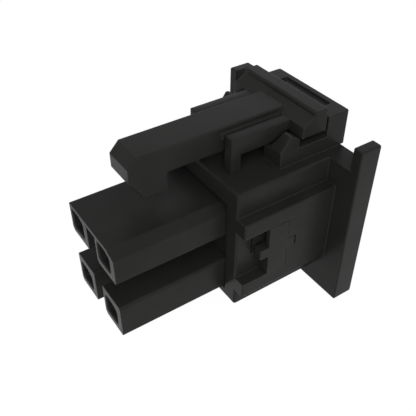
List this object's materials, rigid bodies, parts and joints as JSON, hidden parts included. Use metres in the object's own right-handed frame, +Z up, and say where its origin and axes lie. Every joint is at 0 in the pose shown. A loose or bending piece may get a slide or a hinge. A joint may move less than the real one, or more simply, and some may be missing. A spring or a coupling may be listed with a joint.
{
  "type": "wire-to-wire power connector plug",
  "caption": "Rectangular plug housing with keyed square silos, a top rocking latch with sprung arms and thumb pad, side contact retainers and a rear panel flange.",
  "frame": {"origin": "centre of the silo grid on the front shoulder of the body, the plane that stops against the mating half", "axes": "-Y towards the mating half, +Y towards the wires, +Z up through the latch, X across the two contact columns"},
  "size_m": [0.0226, 0.0282, 0.0239],
  "materials": {
    "housing_plastic": "black polyamide, fine matt spark-eroded texture",
    "retainer_plastic": "black polyamide, smooth matt"
  },
  "bodies": {
    "housing": {"housing": "housing_plastic", "retainer_left": "retainer_plastic", "retainer_right": "retainer_plastic", "spring_arm_left": "housing_plastic", "spring_arm_right": "housing_plastic"},
    "latch": {"latch_lever": "housing_plastic"}
  },
  "joints": [
    {"name": "latch_rock", "type": "hinge", "parent": "housing", "child": "latch", "pos_m": [0, 0.0047, 0.0117], "axis": [-1, 0, 0], "range_deg": [0, 7.5], "stiffness_Nm_per_rad": 0.4, "deforming": ["spring_arm_left", "spring_arm_right"]}
  ]
}
